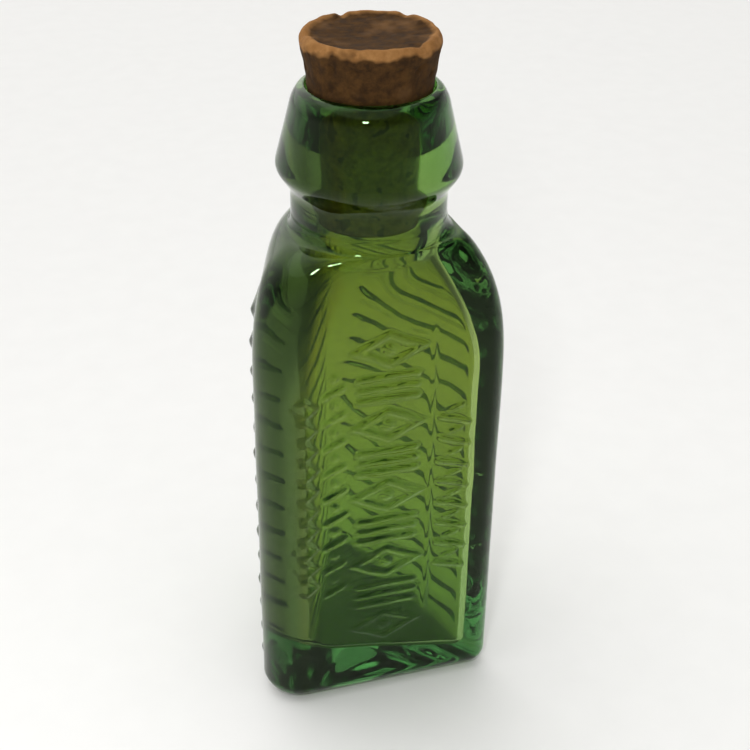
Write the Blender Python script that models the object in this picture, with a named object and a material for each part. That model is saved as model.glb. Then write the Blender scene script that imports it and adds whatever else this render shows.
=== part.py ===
"""Three-sided moulded glass medicine bottle with a tapered cork stopper.

Metres, +Z up. The flat front face looks towards -Y. The origin is on the resting plane, on the
axis of the neck. The body's cross-section is a triangle with rounded corners, called left, right
and back; its two back faces carry raised horizontal ribs and its front face carries rows of
raised plain ornament.
"""
import math

import bmesh
import bpy

MM = 0.001

# Sections, seen from the body's middle: each face's normal in degrees, its distance, and the
# radius of the corner that follows it anticlockwise. The faces are front, back right, back left;
# the corners are right, back, left.
BODY_SECTION = (
    (-90.0, 10.2 * MM, 2.6 * MM),
    (23.5, 11.3 * MM, 4.8 * MM),
    (156.5, 10.5 * MM, 4.6 * MM),
)
CAVITY_SECTION = (
    (-90.0, 7.9 * MM, 1.8 * MM),
    (23.5, 9.2 * MM, 3.0 * MM),
    (156.5, 8.2 * MM, 4.8 * MM),
)
BODY_MIDDLE = (-1.25 * MM, 0.65 * MM)       # the neck stands a little off the body's middle
LEAST_CORNER = 0.4 * MM
ARC_STEPS = 6
FACE_STEPS = 6

# Heights of the glass
HEEL_RADIUS = 1.5 * MM
BODY_TOP = 44.3 * MM
SHOULDER_TOP = 61.2 * MM
NECK_TOP = 65.8 * MM
COLLAR_EDGE = 68.2 * MM
SHOULDER_POWERS = (2.49, 2.15)              # how the shoulder's curve starts and ends
CAVITY_POWERS = (2.0, 1.3)                  # the same for the cavity's shoulder
SHIFT_POWER = 12.0                          # how late the section's middle moves under the neck

# Radii of the neck and collar
NECK_RADIUS = 8.65 * MM
COLLAR_RADIUS = 10.3 * MM
LIP = (                                     # (height, radius) over the rounded lip
    (75.1 * MM, 8.55 * MM),
    (75.95 * MM, 8.2 * MM),
    (76.5 * MM, 7.75 * MM),
    (77.0 * MM, 7.15 * MM),
)

# Ribs on the two back faces
RIB_COUNT = 14
RIB_FIRST = 3.4 * MM
RIB_PITCH = 3.79 * MM
RIB_HEIGHT = 0.55 * MM
RIB_FOOT = 0.95 * MM
RIB_CREST = 0.3 * MM
RIB_SPANS = ((-17.0, 78.0), (104.0, 203.0))    # degrees round the body's middle
RIB_FADE = 9.0

# Cavity
FLOOR = 5.2 * MM
FLOOR_TILT = -0.2                           # the floor is higher on the left
FLOOR_FILLET = 1.2 * MM
FLOOR_RISE = 0.8 * MM
CAVITY_TOP = 58.5 * MM
GAP = 0.3 * MM

# Cork: (height, radius) up its side, and the dish worn into its top
CORK_SIDE = (
    (62.0 * MM, 5.3 * MM),
    (62.4 * MM, 5.55 * MM),
    (68.0 * MM, 5.85 * MM),
    (72.5 * MM, 6.1 * MM),
    (75.4 * MM, 6.4 * MM),
    (76.6 * MM, 6.6 * MM),
    (79.5 * MM, 7.1 * MM),
    (81.8 * MM, 7.5 * MM),
    (82.5 * MM, 7.4 * MM),
    (82.8 * MM, 7.0 * MM),
)
CORK_DISH_RADIUS = 5.8 * MM
CORK_DISH_DEPTH = 0.6 * MM
CORK_STEPS = 32

# Raised ornament on the front face
RELIEF_HEIGHT = 0.35 * MM
RELIEF_ROOT = 0.5 * MM
RELIEF_DRAFT = 0.78


def clear_scene():
    for item in list(bpy.data.objects):
        bpy.data.objects.remove(item, do_unlink=True)


def plain_material(name, colour, roughness, transmission=0.0):
    material = bpy.data.materials.new(name)
    material.use_nodes = True
    shader = material.node_tree.nodes["Principled BSDF"]
    shader.inputs["Base Color"].default_value = (*colour, 1.0)
    shader.inputs["Roughness"].default_value = roughness
    shader.inputs["Metallic"].default_value = 0.0
    shader.inputs["Transmission Weight"].default_value = transmission
    return material


def add_object(name, bm, material):
    mesh = bpy.data.meshes.new(name)
    bm.to_mesh(mesh)
    bm.free()
    mesh.shade_smooth()
    mesh.set_sharp_from_angle(angle=math.radians(40.0))
    mesh.materials.append(material)
    item = bpy.data.objects.new(name, mesh)
    bpy.context.collection.objects.link(item)
    return item


def crossing(angle_a, distance_a, angle_b, distance_b):
    """Where two lines meet, each given by its normal's angle in radians and its distance."""
    span = math.sin(angle_b - angle_a)
    x = (distance_a * math.sin(angle_b) - distance_b * math.sin(angle_a)) / span
    y = (distance_b * math.cos(angle_a) - distance_a * math.cos(angle_b)) / span
    return x, y


def section_arcs(section, inset):
    """The three rounded corners of a section, each a list of (x, y, nx, ny)."""
    arcs = []
    for index, (degrees_a, distance_a, full_radius) in enumerate(section):
        degrees_b, distance_b, _ = section[(index + 1) % 3]
        radius = max(full_radius - inset, LEAST_CORNER)
        angle_a = math.radians(degrees_a)
        angle_b = math.radians(degrees_b if degrees_b > degrees_a else degrees_b + 360.0)
        shrink = inset + radius
        centre = crossing(angle_a, distance_a - shrink, angle_b, distance_b - shrink)
        arc = []
        for step in range(ARC_STEPS + 1):
            turn = angle_a + (angle_b - angle_a) * step / ARC_STEPS
            nx, ny = math.cos(turn), math.sin(turn)
            arc.append((centre[0] + radius * nx, centre[1] + radius * ny, nx, ny))
        arcs.append(arc)
    return arcs


def outline(section, inset=0.0):
    """Points (x, y, nx, ny) round a section, anticlockwise from the right corner's front."""
    arcs = section_arcs(section, inset)
    points = []
    for index, arc in enumerate(arcs):
        points.extend(arc)
        start, end = arc[-1], arcs[(index + 1) % 3][0]
        for step in range(1, FACE_STEPS):
            share = step / FACE_STEPS
            x = start[0] + (end[0] - start[0]) * share
            y = start[1] + (end[1] - start[1]) * share
            points.append((x, y, start[2], start[3]))
    return points


def placed_ring(points, height):
    """A flat ring round the body's own middle."""
    return [(x + BODY_MIDDLE[0], y + BODY_MIDDLE[1], height) for x, y, _, _ in points]


def turns():
    """The direction of each point of the body's section, seen from its middle."""
    return [math.atan2(y, x) for x, y, _, _ in outline(BODY_SECTION)]


def round_ring(radius, height):
    """A circle round the neck's axis, its points in line with the body section's."""
    return [(radius * math.cos(turn), radius * math.sin(turn), height) for turn in turns()]


def rib_cover(turn):
    """How fully ribbed the section is in this direction: 1 on the back faces, 0 on the front."""
    degrees = math.degrees(turn)
    if degrees < RIB_SPANS[0][0]:
        degrees += 360.0
    cover = 0.0
    for low, high in RIB_SPANS:
        edge = min(degrees - low, high - degrees) / RIB_FADE
        cover = max(cover, min(1.0, max(0.0, edge)))
    return cover


def shoulder_ring(section, neck_radius, powers, share, height, lift=0.0):
    """A section on its way to the neck's circle: share is 0 at the body and 1 at the neck."""
    body = (1.0 - share ** powers[0]) ** (1.0 / powers[1])
    shift = 1.0 - share ** SHIFT_POWER
    ring = []
    for (x, y, nx, ny), turn in zip(outline(section), turns()):
        rise = lift * rib_cover(turn)
        px = body * x + (1.0 - body) * neck_radius * math.cos(turn)
        py = body * y + (1.0 - body) * neck_radius * math.sin(turn)
        px += shift * BODY_MIDDLE[0] + nx * rise
        py += shift * BODY_MIDDLE[1] + ny * rise
        ring.append((px, py, height))
    return ring


def body_ring(height, lift=0.0):
    share = (height - BODY_TOP) / (SHOULDER_TOP - BODY_TOP)
    share = min(1.0, max(0.0, share))
    return shoulder_ring(BODY_SECTION, NECK_RADIUS, SHOULDER_POWERS, share, height, lift)


def heel_rings():
    rings = []
    steps = 3
    for step in range(steps):
        turn = math.radians(90.0 * step / steps)
        inset = HEEL_RADIUS * (1.0 - math.sin(turn))
        height = HEEL_RADIUS * (1.0 - math.cos(turn))
        rings.append(placed_ring(outline(BODY_SECTION, inset), height))
    return rings


def wall_rings():
    """Outer rings up the body and the shoulder, four to each rib."""
    rings = [body_ring(HEEL_RADIUS)]
    for index in range(RIB_COUNT):
        middle = RIB_FIRST + RIB_PITCH * index
        rings.append(body_ring(middle - RIB_FOOT))
        rings.append(body_ring(middle - RIB_CREST, RIB_HEIGHT))
        rings.append(body_ring(middle + RIB_CREST, RIB_HEIGHT))
        rings.append(body_ring(middle + RIB_FOOT))
    last_rib = RIB_FIRST + RIB_PITCH * (RIB_COUNT - 1) + RIB_FOOT
    steps = 7
    for step in range(1, steps + 1):
        share = math.sin(math.radians(90.0 * step / steps))
        rings.append(body_ring(last_rib + (SHOULDER_TOP - last_rib) * share))
    return rings


def collar_rings():
    profile = (
        (NECK_RADIUS, NECK_TOP),
        (COLLAR_RADIUS - 0.3 * MM, COLLAR_EDGE - 0.5 * MM),
        (COLLAR_RADIUS, COLLAR_EDGE),
        (COLLAR_RADIUS - 0.2 * MM, COLLAR_EDGE + 0.8 * MM),
    )
    rings = [round_ring(radius, height) for radius, height in profile]
    rings.extend(round_ring(radius, height) for height, radius in LIP)
    return rings


def bore_rings():
    """Down the bore, clear of the cork by the gap, to just below the cork's foot."""
    rings = []
    for height, radius in reversed(CORK_SIDE[1:6]):
        rings.append(round_ring(radius + GAP, height))
    rings.append(round_ring(CORK_SIDE[1][1] + GAP, CAVITY_TOP + 1.5 * MM))
    return rings


def tilted_ring(points, height):
    """A ring round the cavity that leans with the floor."""
    ring = placed_ring(points, height)
    return [(x, y, z + FLOOR_TILT * (x - BODY_MIDDLE[0])) for x, y, z in ring]


def cavity_rings():
    """Down the inside of the shoulder and the body, to the fillet at the floor."""
    bore_radius = CORK_SIDE[1][1] + GAP
    rings = []
    steps = 8
    for step in range(steps + 1):
        share = math.cos(math.radians(90.0 * step / steps))
        height = BODY_TOP + (CAVITY_TOP - BODY_TOP) * share
        rings.append(shoulder_ring(CAVITY_SECTION, bore_radius, CAVITY_POWERS, share, height))
    steps = 4
    for step in range(steps + 1):
        turn = math.radians(90.0 * step / steps)
        inset = FLOOR_FILLET * (1.0 - math.cos(turn))
        height = FLOOR + FLOOR_FILLET * (1.0 - math.sin(turn))
        rings.append(tilted_ring(outline(CAVITY_SECTION, inset), height))
    return rings


def loft(bm, rings):
    """Skins the rings in order and returns their rows of vertices."""
    rows = [[bm.verts.new(point) for point in ring] for ring in rings]
    for lower, upper in zip(rows, rows[1:]):
        count = len(lower)
        for index in range(count):
            after = (index + 1) % count
            bm.faces.new((lower[index], lower[after], upper[after], upper[index]))
    return rows


def fan(bm, row, centre, facing_up):
    middle = bm.verts.new(centre)
    for index, vertex in enumerate(row):
        after = row[(index + 1) % len(row)]
        if facing_up:
            bm.faces.new((vertex, after, middle))
        else:
            bm.faces.new((after, vertex, middle))


def add_block(bm, corners):
    """A raised block on the front face over (x, z) corners, its top a little smaller."""
    face = BODY_MIDDLE[1] - BODY_SECTION[0][1]
    middle_x = sum(x for x, _ in corners) / len(corners)
    middle_z = sum(z for _, z in corners) / len(corners)
    root = [bm.verts.new((x, face + RELIEF_ROOT, z)) for x, z in corners]
    top = []
    for x, z in corners:
        tx = middle_x + (x - middle_x) * RELIEF_DRAFT
        tz = middle_z + (z - middle_z) * RELIEF_DRAFT
        top.append(bm.verts.new((tx, face - RELIEF_HEIGHT, tz)))
    bm.faces.new(list(reversed(root)))
    bm.faces.new(top)
    for index in range(len(corners)):
        after = (index + 1) % len(corners)
        bm.faces.new((root[index], root[after], top[after], top[index]))


def lozenge(x, z, width, height):
    return ((x - width / 2, z), (x, z - height / 2), (x + width / 2, z), (x, z + height / 2))


def bar(x, z, width, height, slant=0.0):
    left, right = x - width / 2, x + width / 2
    low, high = z - height / 2, z + height / 2
    return ((left, low - slant), (right, low + slant), (right, high + slant), (left, high - slant))


def relief_blocks():
    """The ornament: a wide row of lozenges and bars, with narrow rows of dashes beside it."""
    blocks = []
    for index in range(9):
        z = (10.8 + 4.9 * index) * MM
        if index % 2 == 0:
            blocks.append(lozenge(-0.3 * MM, z, 8.0 * MM, 4.0 * MM))
            continue
        for offset in (-1.3, 0.0, 1.3):
            blocks.append(bar(-0.3 * MM, z + offset * MM, 7.2 * MM, 0.7 * MM))
    for index in range(9):
        blocks.append(bar(-6.6 * MM, (17.5 + 3.5 * index) * MM, 2.8 * MM, 1.0 * MM, 0.7 * MM))
    for index in range(10):
        blocks.append(lozenge(-10.0 * MM, (18.6 + 2.8 * index) * MM, 1.9 * MM, 1.9 * MM))
    for index in range(8):
        blocks.append(bar(7.9 * MM, (18.6 + 3.0 * index) * MM, 3.8 * MM, 0.9 * MM, -0.6 * MM))
    return blocks


def build_relief():
    bm = bmesh.new()
    for corners in relief_blocks():
        add_block(bm, corners)
    bmesh.ops.recalc_face_normals(bm, faces=bm.faces)
    mesh = bpy.data.meshes.new("relief_tool")
    bm.to_mesh(mesh)
    bm.free()
    tool = bpy.data.objects.new("relief_tool", mesh)
    bpy.context.collection.objects.link(tool)
    tool.hide_render = True
    tool.display_type = "WIRE"
    return tool


def build_bottle():
    bm = bmesh.new()
    rings = heel_rings() + wall_rings() + collar_rings() + bore_rings() + cavity_rings()
    rows = loft(bm, rings)
    fan(bm, rows[0], (*BODY_MIDDLE, 0.0), facing_up=False)
    fan(bm, rows[-1], (*BODY_MIDDLE, FLOOR + FLOOR_RISE), facing_up=True)
    glass = plain_material("green_glass", (0.16, 0.30, 0.05), 0.05, transmission=0.8)
    bottle = add_object("glass_bottle", bm, glass)
    union = bottle.modifiers.new("ornament", "BOOLEAN")
    union.operation = "UNION"
    union.solver = "EXACT"
    union.object = build_relief()
    return bottle


def cork_ring(radius, height):
    ring = []
    for step in range(CORK_STEPS):
        turn = 2.0 * math.pi * step / CORK_STEPS
        ring.append((radius * math.cos(turn), radius * math.sin(turn), height))
    return ring


def build_cork():
    bm = bmesh.new()
    rings = [cork_ring(radius, height) for height, radius in CORK_SIDE]
    dish = CORK_SIDE[-1][0] - CORK_DISH_DEPTH
    rings.append(cork_ring(CORK_DISH_RADIUS, dish))
    rows = loft(bm, rings)
    fan(bm, rows[0], (0.0, 0.0, CORK_SIDE[0][0]), facing_up=False)
    fan(bm, rows[-1], (0.0, 0.0, dish), facing_up=True)
    cork = plain_material("cork", (0.06, 0.03, 0.012), 0.85)
    return add_object("cork_stopper", bm, cork)


clear_scene()
build_bottle()
build_cork()
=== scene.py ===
"""Looks of the three-sided green glass medicine bottle and its cork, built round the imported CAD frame."""
import math

import bpy
import numpy as np
from mathutils import Matrix, Vector, noise


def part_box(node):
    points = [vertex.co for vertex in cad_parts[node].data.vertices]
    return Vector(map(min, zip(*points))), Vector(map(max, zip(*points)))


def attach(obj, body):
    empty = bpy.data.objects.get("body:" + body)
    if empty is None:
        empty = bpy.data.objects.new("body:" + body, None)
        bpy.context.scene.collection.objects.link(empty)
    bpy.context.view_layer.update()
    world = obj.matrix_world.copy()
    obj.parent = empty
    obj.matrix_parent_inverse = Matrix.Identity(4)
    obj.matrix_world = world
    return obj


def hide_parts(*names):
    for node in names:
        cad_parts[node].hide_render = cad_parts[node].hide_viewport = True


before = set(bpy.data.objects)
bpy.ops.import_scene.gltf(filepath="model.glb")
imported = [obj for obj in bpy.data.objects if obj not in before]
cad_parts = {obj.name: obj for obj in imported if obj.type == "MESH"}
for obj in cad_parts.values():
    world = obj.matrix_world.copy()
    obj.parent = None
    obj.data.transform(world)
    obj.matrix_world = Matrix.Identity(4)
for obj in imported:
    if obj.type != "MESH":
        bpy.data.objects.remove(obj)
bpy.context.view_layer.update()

MM = 0.001

# ---------------------------------------------------------------- the glass
# Built on the CAD's sections, with a rounder heel, higher ribs and a higher middle to the floor.
GLASS_TOP = Vector(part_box("glass_bottle")[1]).z
CORK_LOW, CORK_HIGH = (Vector(corner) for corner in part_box("cork_stopper"))
# Sections, seen from the body's middle: each face's normal in degrees, its distance, and the
# radius of the corner that follows it anticlockwise (faces front, back right, back left).
BODY_SECTION = (
    (-90.0, 10.2 * MM, 2.6 * MM),
    (23.5, 11.3 * MM, 4.8 * MM),
    (156.5, 10.5 * MM, 4.6 * MM),
)
CAVITY_SECTION = (
    (-90.0, 7.9 * MM, 1.8 * MM),
    (23.5, 9.2 * MM, 3.0 * MM),
    (156.5, 8.2 * MM, 4.8 * MM),
)
BODY_MIDDLE = np.array([-1.25 * MM, 0.65 * MM])
LEAST_CORNER = 0.4 * MM         # corners stay this round when a section is inset
HEEL_RADIUS = 2.7 * MM
BODY_TOP = 44.3 * MM
SHOULDER_TOP = 61.2 * MM
SHOULDER_POWERS = (2.49, 2.15)
CAVITY_POWERS = (2.0, 1.3)
SHIFT_POWER = 12.0
FILLET_START = 0.985            # share of the shoulder's height where its fillet to the neck begins
FILLET_HEIGHT = 1.6 * MM
NECK_RADIUS = 8.65 * MM

# Mesh density
ARC_STEPS = 12
FACE_STEPS = (44, 44, 88)       # back right, back left, front: each follows its corner
ROW_STEP = 0.22 * MM
BASE_RINGS = 6
HEEL_STEPS = 8
NECK_FILLET_STEPS = 10
PROFILE_CORNER_STEPS = 6
CAVITY_STEPS = 149
FLOOR_FILLET_STEPS = 8
FLOOR_RINGS = 12

# Ribs of the two back faces
RIB_COUNT = 14
RIB_FIRST = 3.4 * MM
RIB_PITCH = 3.79 * MM
RIB_HEIGHT = 0.75 * MM
RIB_HALF_WIDTH = 1.35 * MM
RIB_SPANS = ((-15.0, 83.0), (104.0, 197.0))     # degrees round the body's middle
RIB_FADE = 7.0

# Raised ornament of the front face: columns of motifs, in millimetres, each with its place
# across, the height of its lowest motif, its pitch and its count
RELIEF_HEIGHT = 0.31 * MM
MIDDLE_COLUMN = (-0.3, 10.8, 4.9, 9)
LEFT_COLUMN = (-6.6, 17.5, 3.5, 9)
EDGE_COLUMN = (-10.0, 18.6, 2.8, 10)
RIGHT_COLUMN = (7.7, 18.6, 3.0, 8)

# Cavity
CAVITY_TOP = 58.5 * MM
BORE_RADIUS = 5.85 * MM
FLOOR_MIDDLE = 5.9 * MM
FLOOR_TILT = -0.2
FLOOR_RISE = 0.8 * MM
FLOOR_FILLET = 1.6 * MM


def smooth(value):
    """0 below 0, 1 above 1 and an S-shaped ramp between."""
    value = np.clip(value, 0.0, 1.0)
    return value * value * (3.0 - 2.0 * value)


def wave(points, scale, seed):
    """Smooth noise from -1 to 1 at each point, its lumps about scale metres apart."""
    shift = Vector((seed * 7.13, seed * 3.71, seed * 5.37))
    return np.array([noise.noise(Vector(point) / scale + shift) for point in points])


def outline(section, inset=0.0):
    """Places and normals round a section, anticlockwise from the right corner's front."""
    arcs = []
    for index, (degrees_a, distance_a, full_radius) in enumerate(section):
        degrees_b, distance_b, _ = section[(index + 1) % 3]
        radius = max(full_radius - inset, LEAST_CORNER)
        angle_a = math.radians(degrees_a)
        angle_b = math.radians(degrees_b if degrees_b > degrees_a else degrees_b + 360.0)
        a, b = distance_a - inset - radius, distance_b - inset - radius
        span = math.sin(angle_b - angle_a)
        centre = np.array([
            (a * math.sin(angle_b) - b * math.sin(angle_a)) / span,
            (b * math.cos(angle_a) - a * math.cos(angle_b)) / span,
        ])
        turn = np.linspace(angle_a, angle_b, ARC_STEPS + 1)
        normal = np.stack([np.cos(turn), np.sin(turn)], axis=1)
        arcs.append((centre + radius * normal, normal))
    places, normals = [], []
    for index, (place, normal) in enumerate(arcs):
        share = np.linspace(0.0, 1.0, FACE_STEPS[index] + 1)[1:-1, None]
        start, end = place[-1], arcs[(index + 1) % 3][0][0]
        places += [place, start + (end - start) * share]
        normals += [normal, np.repeat(normal[-1:], len(share), axis=0)]
    return np.concatenate(places), np.concatenate(normals)


OUTLINE, OUTLINE_NORMAL = outline(BODY_SECTION)
ROUND_TURN = np.arctan2(OUTLINE[:, 1], OUTLINE[:, 0])
CIRCLE = np.column_stack([np.cos(ROUND_TURN), np.sin(ROUND_TURN)])
MIDDLE_TURN = np.degrees(ROUND_TURN)
MIDDLE_TURN = np.where(MIDDLE_TURN < -60.0, MIDDLE_TURN + 360.0, MIDDLE_TURN)


def ring(places, height):
    return np.column_stack([places, np.broadcast_to(height, len(places))])


def round_ring(radius, height):
    return ring(radius * CIRCLE, height)


def body_share(share, powers):
    """How much of the body's own section is left; the rest is the neck's circle."""
    return (1.0 - share ** powers[0]) ** (1.0 / powers[1])


def shoulder_places(section, neck_radius, share, left):
    """A section on its way to the neck's circle, its middle moving under the neck at the end."""
    shift = (1.0 - share ** SHIFT_POWER) * BODY_MIDDLE
    return left * section + (1.0 - left) * neck_radius * CIRCLE + shift


def rib_cover():
    cover = np.zeros(len(OUTLINE))
    for low, high in RIB_SPANS:
        ramp = np.minimum(MIDDLE_TURN - low, high - MIDDLE_TURN) / RIB_FADE
        cover = np.maximum(cover, smooth(ramp))
    return cover


RIB_COVER = rib_cover()


def rib_lift(points):
    """Height of the ribs over the back faces, with slightly wandering crests."""
    wander = MM * (0.4 * wave(points, 5.0 * MM, 1.0) + 0.15 * wave(points, 1.6 * MM, 1.5))
    strength = 0.88 + 0.25 * wave(points, 3.0 * MM, 2.0)
    height = points[:, 2] + wander
    nearest = np.clip(np.round((height - RIB_FIRST) / RIB_PITCH), 0, RIB_COUNT - 1)
    distance = np.abs(height - RIB_FIRST - nearest * RIB_PITCH) / RIB_HALF_WIDTH
    bump = np.cos(np.minimum(distance, 1.0) * math.pi / 2.0) ** 2
    return RIB_HEIGHT * strength * bump * RIB_COVER


def stroke(distance, half_width):
    """A rounded ridge: 1 on the line, 0 from half_width away."""
    return np.cos(np.minimum(np.abs(distance) / half_width, 1.0) * math.pi / 2.0)


def lozenge_ridge(x, z, width, height, half_width):
    reach = np.abs(x) / (width / 2.0) + np.abs(z) / (height / 2.0) - 1.0
    slope = math.hypot(2.0 / width, 2.0 / height)
    return stroke(reach / slope, half_width)


def bar_ridge(x, z, width, half_width, slant=0.0):
    across = z - slant * x
    past = np.maximum(np.abs(x) - width / 2.0 + half_width, 0.0)
    return stroke(np.hypot(across, past), half_width)


def bead(x, z, radius):
    return np.sqrt(np.maximum(1.0 - (x * x + z * z) / radius ** 2, 0.0))


def motifs_of(column, x, z):
    """Each motif's number, and x and z measured from its middle."""
    across, lowest, pitch, count = column
    for index in range(count):
        yield index, x - across, z - (lowest + pitch * index)


def relief(x, z):
    """The plain ornament of the front face over x and z in millimetres, from 0 to 1."""
    lift = np.zeros(len(x))
    for index, dx, dz in motifs_of(MIDDLE_COLUMN, x, z):
        if index % 2 == 0:
            motifs = [lozenge_ridge(dx, dz, 7.6, 3.8, 0.5), bead(dx, dz, 0.75)]
        else:
            motifs = [bar_ridge(dx, dz - offset, 7.6, 0.48) for offset in (-1.4, 0.0, 1.4)]
        lift = np.maximum.reduce([lift, *motifs])
    for _, dx, dz in motifs_of(LEFT_COLUMN, x, z):
        lift = np.maximum(lift, bar_ridge(dx, dz, 3.0, 0.5, slant=0.45))
        lift = np.maximum(lift, 0.8 * bead(dx, dz - 1.75, 0.55))
    for _, dx, dz in motifs_of(EDGE_COLUMN, x, z):
        lift = np.maximum(lift, lozenge_ridge(dx, dz, 2.2, 2.2, 0.4))
    for _, dx, dz in motifs_of(RIGHT_COLUMN, x, z):
        lift = np.maximum(lift, bar_ridge(dx, dz, 4.2, 0.45, slant=-0.35))
        lift = np.maximum(lift, bar_ridge(dx, dz - 1.5, 2.2, 0.4, slant=0.35))
    seam = stroke(x - 4.9, 0.3) * smooth((z - 11.0) / 3.0) * smooth((53.0 - z) / 3.0)
    return np.maximum(lift, 0.5 * seam)


def relief_lift(points):
    front = smooth((-OUTLINE_NORMAL[:, 1] - 0.85) / 0.12)
    warp = 0.18 * wave(points, 2.5 * MM, 3.0)
    x, z = points[:, 0] / MM + warp, points[:, 2] / MM + warp
    worn = np.minimum(0.85 + 0.3 * wave(points, 4.0 * MM, 4.0), 1.0)
    return RELIEF_HEIGHT * relief(x, z) * front * worn


def body_rows():
    """Outer rows from the heel up over the shoulder to the foot of the neck."""
    rows = []
    for step in range(HEEL_STEPS):
        turn = math.radians(90.0 * step / HEEL_STEPS)
        places = outline(BODY_SECTION, HEEL_RADIUS * (1.0 - math.sin(turn)))[0]
        rows.append(ring(places + BODY_MIDDLE, HEEL_RADIUS * (1.0 - math.cos(turn))))
    fillet_foot = BODY_TOP + (SHOULDER_TOP - BODY_TOP) * FILLET_START
    count = round((fillet_foot - HEEL_RADIUS) / ROW_STEP)
    normal = np.column_stack([OUTLINE_NORMAL, np.zeros(len(OUTLINE))])
    for step in range(count + 1):
        height = HEEL_RADIUS + (fillet_foot - HEEL_RADIUS) * step / count
        share = max(0.0, (height - BODY_TOP) / (SHOULDER_TOP - BODY_TOP))
        left = body_share(share, SHOULDER_POWERS)
        places = shoulder_places(OUTLINE, NECK_RADIUS, share, left)
        points = ring(places, height)
        uneven = 0.05 * MM * wave(points, 9.0 * MM, 5.0) - 0.05 * MM
        lift = rib_lift(points) + relief_lift(points) + uneven
        rows.append(points + normal * lift[:, None])
    last = rows[-1]
    for step in range(1, NECK_FILLET_STEPS + 1):
        turn = math.radians(90.0 * step / NECK_FILLET_STEPS)
        neck = round_ring(NECK_RADIUS, fillet_foot + FILLET_HEIGHT * (1.0 - math.cos(turn)))
        left = 1.0 - math.sin(turn)
        neck[:, :2] += left * (last[:, :2] - neck[:, :2])
        rows.append(neck)
    return rows


def rounded(profile, step=0.25 * MM):
    """(radius, height, corner rounding) turned into a fine polyline with rounded corners."""
    points = [Vector((radius, height)) for radius, height, _ in profile]
    path = [points[0]]
    for index in range(1, len(points) - 1):
        before, corner, after = points[index - 1:index + 2]
        reach = min(profile[index][2], (corner - before).length / 2, (after - corner).length / 2)
        if reach <= 0.0:
            path.append(corner)
            continue
        start = corner + (before - corner).normalized() * reach
        end = corner + (after - corner).normalized() * reach
        for part in range(PROFILE_CORNER_STEPS + 1):
            t = part / PROFILE_CORNER_STEPS
            path.append(start * (1 - t) ** 2 + corner * 2 * t * (1 - t) + end * t ** 2)
    path.append(points[-1])
    fine = [path[0]]
    for start, end in zip(path, path[1:]):
        count = max(1, math.ceil((end - start).length / step))
        fine += [start.lerp(end, part / count) for part in range(1, count + 1)]
    return fine


COLLAR = (
    (NECK_RADIUS, 62.6 * MM, 0.0),
    (NECK_RADIUS, 65.6 * MM, 0.8 * MM),
    (10.33 * MM, 68.0 * MM, 0.85 * MM),
    (8.42 * MM, 75.6 * MM, 1.0 * MM),
    (7.75 * MM, 76.65 * MM, 0.6 * MM),
    (7.0 * MM, GLASS_TOP, 0.25 * MM),
    (6.85 * MM, 76.5 * MM, 0.25 * MM),
    (6.65 * MM, 75.3 * MM, 0.5 * MM),
    (6.35 * MM, 72.5 * MM, 0.8 * MM),
    (6.1 * MM, 68.0 * MM, 1.0 * MM),
    (BORE_RADIUS, 62.4 * MM, 1.0 * MM),
    (BORE_RADIUS, CAVITY_TOP, 0.0),
)


def collar_rows():
    """From the neck over the collar and the lip, and down the bore."""
    rows = []
    for radius, height in rounded(COLLAR):
        points = round_ring(radius, height)
        swell = 0.997 + 0.006 * wave(points, 7.0 * MM, 6.0)
        points[:, :2] *= swell[:, None]
        rows.append(points)
    return rows


def floor_height(places):
    """The cavity's floor: low on the right, with a pushed-up middle."""
    reach = np.hypot(places[:, 0], places[:, 1]) / (9.0 * MM)
    return FLOOR_MIDDLE + FLOOR_TILT * places[:, 0] + FLOOR_RISE * (1.0 - smooth(reach) * 1.6)


def cavity_rows():
    """Down the inside of the shoulder and the body to the floor."""
    section, normals = outline(CAVITY_SECTION)
    low = floor_height(section) + FLOOR_FILLET
    rows = []
    for step in range(1, CAVITY_STEPS + 1):
        height = CAVITY_TOP + (low - CAVITY_TOP) * (step / CAVITY_STEPS) ** 1.15
        share = np.maximum(0.0, (height - BODY_TOP) / (CAVITY_TOP - BODY_TOP))[:, None]
        left = body_share(share, CAVITY_POWERS)
        points = ring(shoulder_places(section, BORE_RADIUS, share, left), height)
        push = 0.16 * MM * wave(points, 6.0 * MM, 7.0) * left[:, 0]
        points[:, :2] += normals * push[:, None]
        rows.append(points)
    for step in range(1, FLOOR_FILLET_STEPS + 1):
        turn = math.radians(90.0 * step / FLOOR_FILLET_STEPS)
        places = outline(CAVITY_SECTION, FLOOR_FILLET * (1.0 - math.cos(turn)))[0]
        height = floor_height(places) + FLOOR_FILLET * (1.0 - math.sin(turn))
        rows.append(ring(places + BODY_MIDDLE, height))
    inner = rows[-1][:, :2] - BODY_MIDDLE
    for step in range(1, FLOOR_RINGS):
        places = inner * (1.0 - step / FLOOR_RINGS)
        rows.append(ring(places + BODY_MIDDLE, floor_height(places)))
    return rows


def lofted_mesh(name, rows, start, end):
    """Skins rows of equal length and closes both ends to a point."""
    count = len(rows[0])
    points = np.concatenate([*rows, [start], [end]])
    first = np.arange(count)
    after = (first + 1) % count
    faces = []
    for index in range(len(rows) - 1):
        low, high = index * count, (index + 1) * count
        faces += np.column_stack([low + first, low + after, high + after, high + first]).tolist()
    last = (len(rows) - 1) * count
    foot, top = len(points) - 2, len(points) - 1
    faces += [(b, a, foot) for a, b in zip(first.tolist(), after.tolist())]
    faces += [(last + a, last + b, top) for a, b in zip(first.tolist(), after.tolist())]
    mesh = bpy.data.meshes.new(name)
    mesh.from_pydata(points.tolist(), [], faces)
    mesh.validate()
    mesh.shade_smooth()
    item = bpy.data.objects.new(name, mesh)
    bpy.context.collection.objects.link(item)
    return item


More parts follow.
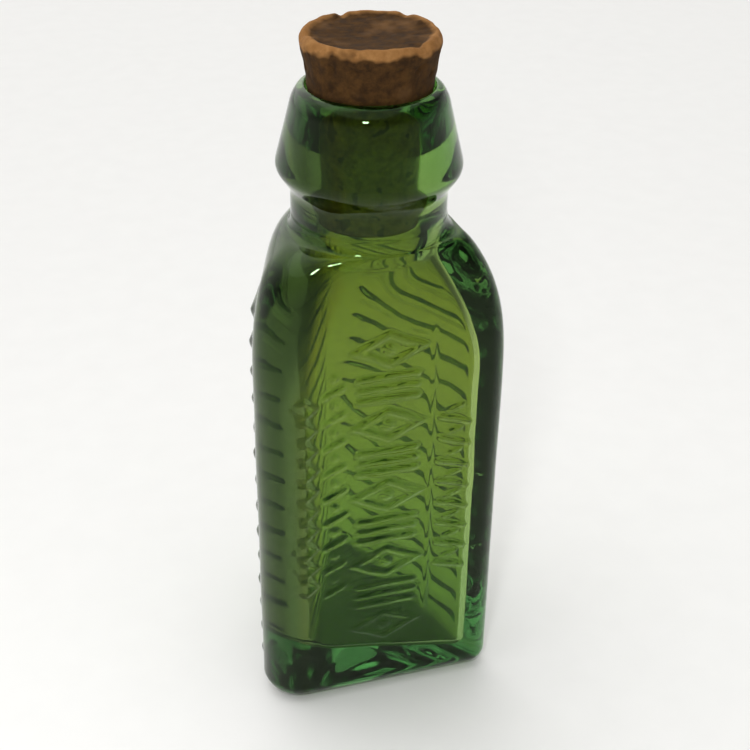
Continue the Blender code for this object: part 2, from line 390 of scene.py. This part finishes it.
def build_glass():
    rows = body_rows()
    base = rows[0][:, :2] - BODY_MIDDLE
    base_rows = [ring(base * step / BASE_RINGS + BODY_MIDDLE, 0.0) for step in range(1, BASE_RINGS)]
    rows = base_rows + rows + collar_rows() + cavity_rows()
    floor = floor_height(np.zeros((1, 2)))[0]
    return lofted_mesh("bottle_glass", rows, (*BODY_MIDDLE, 0.0), (*BODY_MIDDLE, floor))


# ---------------------------------------------------------------- the cork
CORK_TURNS = 220
CORK_PROFILE = (
    (5.2 * MM, CORK_LOW.z, 0.0),
    (5.55 * MM, CORK_LOW.z + 0.4 * MM, 0.15 * MM),
    (5.9 * MM, 68.0 * MM, 1.0 * MM),
    (6.15 * MM, 72.5 * MM, 0.8 * MM),
    (6.45 * MM, 75.4 * MM, 0.5 * MM),
    (6.75 * MM, 77.2 * MM, 0.5 * MM),
    (7.15 * MM, 79.6 * MM, 1.0 * MM),
    (7.65 * MM, CORK_HIGH.z - 1.1 * MM, 0.8 * MM),
    (7.0 * MM, CORK_HIGH.z + 0.1 * MM, 0.6 * MM),
    (6.1 * MM, CORK_HIGH.z - 0.5 * MM, 0.4 * MM),
    (0.4 * MM, CORK_HIGH.z - 1.0 * MM, 0.0),
)
CORK_NOTCHES = ((101.0, 5.0), (40.0, 6.0), (-60.0, 9.0), (172.0, 6.0))     # degrees, half width


def cork_rows():
    turn = np.linspace(0.0, 2.0 * math.pi, CORK_TURNS, endpoint=False)
    circle = np.column_stack([np.cos(turn), np.sin(turn)])
    notched = np.zeros(CORK_TURNS)
    for middle, half_width in CORK_NOTCHES:
        away = (np.degrees(turn) - middle + 180.0) % 360.0 - 180.0
        notched += np.exp(-(away / half_width) ** 2)
    rows = []
    for radius, height in rounded(CORK_PROFILE, 0.18 * MM):
        points = ring(radius * circle, height)
        shown = float(smooth((height - 77.0 * MM) / (1.0 * MM)))
        lumps = 0.16 * wave(points, 3.2 * MM, 8.0) + 0.08 * wave(points, 1.1 * MM, 9.0)
        pits = np.maximum(wave(points, 1.3 * MM, 10.0) - 0.38, 0.0) * 1.1
        inward = shown * MM * (lumps - pits - 0.1)
        points[:, :2] += circle * inward[:, None]
        top = smooth((height - CORK_HIGH.z + 1.2 * MM) / (0.8 * MM))
        broad = 0.22 * MM * wave(points * [1, 1, 0], 5.0 * MM, 11.0)
        sag = broad + 0.1 * MM * wave(points, 1.2 * MM, 12.0)
        rim = 0.35 * MM * notched * float(smooth((radius - 5.8 * MM) / (0.8 * MM)))
        points[:, 2] += top * (sag - 0.15 * MM - rim)
        points[:, 2] = np.minimum(points[:, 2], CORK_HIGH.z)
        rows.append(points)
    return rows


def build_cork():
    rows = cork_rows()
    return lofted_mesh("cork", rows, (0.0, 0.0, CORK_LOW.z), tuple(rows[-1].mean(axis=0)))


# ---------------------------------------------------------------- materials
def new_material(name):
    material = bpy.data.materials.new(name)
    material.use_nodes = True
    tree = material.node_tree
    return material, tree, tree.nodes["Principled BSDF"], tree.nodes["Material Output"]


def noise_node(tree, coords, scale, detail=4.0, roughness=0.5):
    node = tree.nodes.new("ShaderNodeTexNoise")
    node.inputs["Scale"].default_value = scale
    node.inputs["Detail"].default_value = detail
    node.inputs["Roughness"].default_value = roughness
    tree.links.new(coords, node.inputs["Vector"])
    return node.outputs["Fac"]


def map_range(tree, value, from_low, from_high, to_low, to_high):
    node = tree.nodes.new("ShaderNodeMapRange")
    tree.links.new(value, node.inputs["Value"])
    for socket, number in zip(("From Min", "From Max", "To Min", "To Max"),
                              (from_low, from_high, to_low, to_high)):
        node.inputs[socket].default_value = number
    return node.outputs["Result"]


def multiply(tree, first, second):
    node = tree.nodes.new("ShaderNodeMath")
    node.operation = "MULTIPLY"
    tree.links.new(first, node.inputs[0])
    tree.links.new(second, node.inputs[1])
    return node.outputs["Value"]


def wobbled(tree, value, fac, amount):
    """The value moved up or down by as much as half the amount, as the noise says."""
    node = tree.nodes.new("ShaderNodeMath")
    node.operation = "MULTIPLY_ADD"
    tree.links.new(fac, node.inputs[0])
    node.inputs[1].default_value = amount
    tree.links.new(value, node.inputs[2])
    shift = tree.nodes.new("ShaderNodeMath")
    shift.operation = "SUBTRACT"
    tree.links.new(node.outputs["Value"], shift.inputs[0])
    shift.inputs[1].default_value = amount / 2.0
    return shift.outputs["Value"]


def mix_colour(tree, share, colour_a, colour_b):
    node = tree.nodes.new("ShaderNodeMix")
    node.data_type = "RGBA"
    tree.links.new(share, node.inputs["Factor"])
    for socket, colour in (("A", colour_a), ("B", colour_b)):
        target = next(s for s in node.inputs if s.name == socket and s.type == "RGBA")
        if isinstance(colour, tuple):
            target.default_value = (*colour, 1.0)
        else:
            tree.links.new(colour, target)
    return next(s for s in node.outputs if s.type == "RGBA")


def colour_ramp(tree, share, stops):
    node = tree.nodes.new("ShaderNodeValToRGB")
    elements = node.color_ramp.elements
    while len(elements) < len(stops):
        elements.new(0.5)
    for element, (place, colour) in zip(elements, stops):
        element.position = place
        element.color = (*colour, 1.0)
    tree.links.new(share, node.inputs["Fac"])
    return node.outputs["Color"]


def bump_node(tree, height, distance, strength=1.0):
    node = tree.nodes.new("ShaderNodeBump")
    node.inputs["Strength"].default_value = strength
    node.inputs["Distance"].default_value = distance
    tree.links.new(height, node.inputs["Height"])
    return node.outputs["Normal"]


def object_coords(tree):
    return tree.nodes.new("ShaderNodeTexCoord").outputs["Object"]


# Colours up the glass, by share of its height: greener at the foot and the collar
GLASS_TINTS = (
    (0.00, (0.36, 0.55, 0.19)),
    (0.40, (0.46, 0.54, 0.17)),
    (0.74, (0.47, 0.51, 0.15)),
    (0.80, (0.31, 0.37, 0.10)),
    (0.88, (0.29, 0.45, 0.10)),
    (1.00, (0.27, 0.47, 0.09)),
)


def glass_material():
    """Green mostly from tint at the surfaces: strong absorption would turn the thick base black."""
    material, tree, shader, output = new_material("green_bottle_glass")
    coords = object_coords(tree)
    split = tree.nodes.new("ShaderNodeSeparateXYZ")
    tree.links.new(coords, split.inputs["Vector"])
    level = map_range(tree, split.outputs["Z"], 0.0, GLASS_TOP, 0.0, 1.0)
    along = colour_ramp(tree, level, GLASS_TINTS)
    streaks = map_range(tree, noise_node(tree, coords, 90.0, 3.0), 0.3, 0.7, 0.0, 0.25)
    streaked = mix_colour(tree, streaks, along, (0.30, 0.36, 0.10))
    # The left corner is darker: painted shade standing in for the dark that thick glass gives there, with a
    # brown strip beside it. Both lean right over the shoulder.
    lean = tree.nodes.new("ShaderNodeMath")
    lean.operation = "SUBTRACT"
    tree.links.new(split.outputs["X"], lean.inputs[0])
    tree.links.new(map_range(tree, split.outputs["Z"], 0.045, 0.058, 0.0, 0.0045), lean.inputs[1])
    # Painted shade: mask of the darkened left corner
    thick = map_range(tree, lean.outputs["Value"], -0.0128, -0.0098, 1.0, 0.0)
    # A brown strip beside the darkened left corner
    brown_strip = multiply(tree, map_range(tree, lean.outputs["Value"], -0.0116, -0.0106, 0.0, 0.7),
                    map_range(tree, lean.outputs["Value"], -0.0104, -0.0094, 1.0, 0.0))
    with_brown_strip = mix_colour(tree, brown_strip, streaked, (0.44, 0.38, 0.05))
    # Painted shade: the left corner's colour darkened nearly to black green
    tint = mix_colour(tree, thick, with_brown_strip, (0.06, 0.08, 0.02))
    tree.links.new(tint, shader.inputs["Base Color"])
    haze = noise_node(tree, coords, 260.0, 5.0)
    tree.links.new(map_range(tree, haze, 0.45, 0.75, 0.012, 0.07), shader.inputs["Roughness"])
    ripple = noise_node(tree, coords, 420.0, 2.0)
    tree.links.new(bump_node(tree, ripple, 0.00001, 0.6), shader.inputs["Normal"])
    shader.inputs["IOR"].default_value = 1.5
    shader.inputs["Specular Tint"].default_value = (0.40, 0.60, 0.32, 1.0)
    shader.inputs["Transmission Weight"].default_value = 1.0
    inside = tree.nodes.new("ShaderNodeVolumeAbsorption")
    inside.inputs["Color"].default_value = (0.30, 0.62, 0.50, 1.0)
    inside.inputs["Density"].default_value = 100.0
    tree.links.new(inside.outputs["Volume"], output.inputs["Volume"])
    return material


def cork_material():
    material, tree, shader, _ = new_material("aged_cork")
    coords = object_coords(tree)
    grain = noise_node(tree, coords, 900.0, 8.0, 0.65)
    blotch = noise_node(tree, coords, 260.0, 3.0)
    brown = mix_colour(tree, map_range(tree, grain, 0.35, 0.65, 0.0, 1.0),
                       (0.028, 0.013, 0.004), (0.074, 0.035, 0.010))
    patched = mix_colour(tree, map_range(tree, blotch, 0.55, 0.72, 0.0, 1.0),
                         brown, (0.125, 0.062, 0.022))
    split = tree.nodes.new("ShaderNodeSeparateXYZ")
    tree.links.new(coords, split.inputs["Vector"])
    flat = tree.nodes.new("ShaderNodeCombineXYZ")
    tree.links.new(split.outputs["X"], flat.inputs["X"])
    tree.links.new(split.outputs["Y"], flat.inputs["Y"])
    length = tree.nodes.new("ShaderNodeVectorMath")
    length.operation = "LENGTH"
    tree.links.new(flat.outputs["Vector"], length.inputs[0])
    worn_edge = noise_node(tree, coords, 330.0, 2.0)
    height = wobbled(tree, split.outputs["Z"], worn_edge, 3.0 * MM)
    radius = wobbled(tree, length.outputs["Value"], blotch, 2.0 * MM)
    # Painted highlight mixed with wear: a lighter tan ring round the cork's top edge, its lower edge uneven
    edge = map_range(tree, height, CORK_HIGH.z - 1.5 * MM, CORK_HIGH.z - 1.1 * MM, 0.0, 1.0)
    outer = map_range(tree, radius, 6.3 * MM, 6.8 * MM, 0.0, 1.0)
    rim = multiply(tree, multiply(tree, edge, outer), map_range(tree, blotch, 0.36, 0.5, 0.35, 1.0))
    # Paler below the lip, inside the neck: partly a cleaner cork, partly painted light where the cork sits
    # in shade in the neck
    in_neck = wobbled(tree, split.outputs["Z"], worn_edge, 2.0 * MM)
    inside = map_range(tree, in_neck, 74.6 * MM, 76.0 * MM, 1.0, 0.0)
    pale = mix_colour(tree, map_range(tree, grain, 0.4, 0.6, 0.0, 1.0),
                      (0.30, 0.15, 0.06), (0.48, 0.27, 0.12))
    lenticels = map_range(tree, noise_node(tree, coords, 700.0, 2.0), 0.62, 0.68, 0.0, 0.8)
    speckled = mix_colour(tree, lenticels, pale, (0.10, 0.045, 0.015))
    neck_clean_and_painted_light = mix_colour(tree, inside, patched, speckled)
    # Tan of the top rim: painted highlight over worn cork
    tan = mix_colour(tree, map_range(tree, grain, 0.4, 0.65, 0.0, 1.0),
                     (0.24, 0.11, 0.033), (0.32, 0.16, 0.055))
    worn = mix_colour(tree, rim, neck_clean_and_painted_light, tan)
    tree.links.new(worn, shader.inputs["Base Color"])
    tree.links.new(map_range(tree, grain, 0.3, 0.7, 0.75, 0.95), shader.inputs["Roughness"])
    tree.links.new(bump_node(tree, grain, 0.0002, 0.5), shader.inputs["Normal"])
    shader.inputs["Specular IOR Level"].default_value = 0.1
    return material


def floor_material():
    material, tree, shader, _ = new_material("pale_floor")
    fibre = noise_node(tree, object_coords(tree), 180.0, 4.0)
    pale = mix_colour(tree, fibre, (0.82, 0.82, 0.81), (0.86, 0.86, 0.85))
    tree.links.new(pale, shader.inputs["Base Color"])
    shader.inputs["Roughness"].default_value = 0.7
    return material


# ---------------------------------------------------------------- the room
CAMERA_LENS = 65.44             # millimetres on a 36 mm sensor
CAMERA_PLACE = (-39.97 * MM, -131.81 * MM, 124.80 * MM)
CAMERA_TURN, CAMERA_DOWN, CAMERA_ROLL = -17.26, 31.27, 0.84     # degrees
# The glow stands behind the bottle to the left, so that the thick base shows green and not black.
GLOW_DIRECTION = (-0.262, 0.720, 0.643)


def build_floor():
    half = 3.0
    corners = [(-half, -half, 0.0), (half, -half, 0.0), (half, half, 0.0), (-half, half, 0.0)]
    mesh = bpy.data.meshes.new("floor")
    mesh.from_pydata(corners, [], [(0, 1, 2, 3)])
    item = bpy.data.objects.new("floor", mesh)
    item.location.z = -0.05 * MM
    bpy.context.collection.objects.link(item)
    mesh.materials.append(floor_material())


def add_camera():
    data = bpy.data.cameras.new("camera")
    data.lens = CAMERA_LENS
    data.sensor_width = 36.0
    data.clip_start = 0.01
    item = bpy.data.objects.new("camera", data)
    turn = Matrix.Rotation(math.radians(CAMERA_TURN), 4, "Z")
    tilt = Matrix.Rotation(math.radians(90.0 - CAMERA_DOWN), 4, "X")
    roll = Matrix.Rotation(math.radians(CAMERA_ROLL), 4, "Z")
    item.matrix_world = Matrix.Translation(CAMERA_PLACE) @ turn @ tilt @ roll
    bpy.context.collection.objects.link(item)
    bpy.context.scene.camera = item
    return item


def aimed_light(name, place, target, size, power, colour=(1.0, 1.0, 1.0)):
    data = bpy.data.lights.new(name, "AREA")
    data.shape = "DISK"
    data.size = size
    data.energy = power
    data.color = colour
    item = bpy.data.objects.new(name, data)
    item.location = place
    item.rotation_euler = (Vector(target) - Vector(place)).to_track_quat("-Z", "Y").to_euler()
    bpy.context.collection.objects.link(item)


def light_room():
    """A dim room that glows high up behind the bottle, a broad soft light and a small flash."""
    world = bpy.data.worlds.new("soft_room")
    world.use_nodes = True
    tree = world.node_tree
    background = tree.nodes["Background"]
    background.inputs["Color"].default_value = (1.0, 0.99, 0.97, 1.0)
    facing = tree.nodes.new("ShaderNodeVectorMath")
    facing.operation = "DOT_PRODUCT"
    facing.inputs[1].default_value = GLOW_DIRECTION
    direction = tree.nodes.new("ShaderNodeTexCoord").outputs["Generated"]
    tree.links.new(direction, facing.inputs[0])
    split = tree.nodes.new("ShaderNodeSeparateXYZ")
    tree.links.new(direction, split.inputs["Vector"])
    glow = map_range(tree, facing.outputs["Value"], 0.35, 0.9, 0.18, 1.5)
    horizon = map_range(tree, split.outputs["Z"], 0.02, 0.35, 0.75, 0.18)
    brighter = tree.nodes.new("ShaderNodeMath")
    brighter.operation = "MAXIMUM"
    tree.links.new(glow, brighter.inputs[0])
    tree.links.new(horizon, brighter.inputs[1])
    tree.links.new(brighter.outputs["Value"], background.inputs["Strength"])
    bpy.context.scene.world = world
    middle = (0.0, 0.0, 0.04)
    aimed_light("overhead", (-0.1, -0.1, 1.2), middle, 2.4, 9.5)
    aimed_light("flash", (-0.056, -0.127, 0.145), middle, 0.020, 0.09)


glass = build_glass()
glass.data.materials.append(glass_material())
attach(glass, "bottle")
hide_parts("glass_bottle")

cork = build_cork()
cork.data.materials.append(cork_material())
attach(cork, "cork")
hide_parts("cork_stopper")

build_floor()
add_camera()
light_room()

scene = bpy.context.scene
scene.view_settings.view_transform = "Standard"
scene.cycles.max_bounces = 32
scene.cycles.transmission_bounces = 32
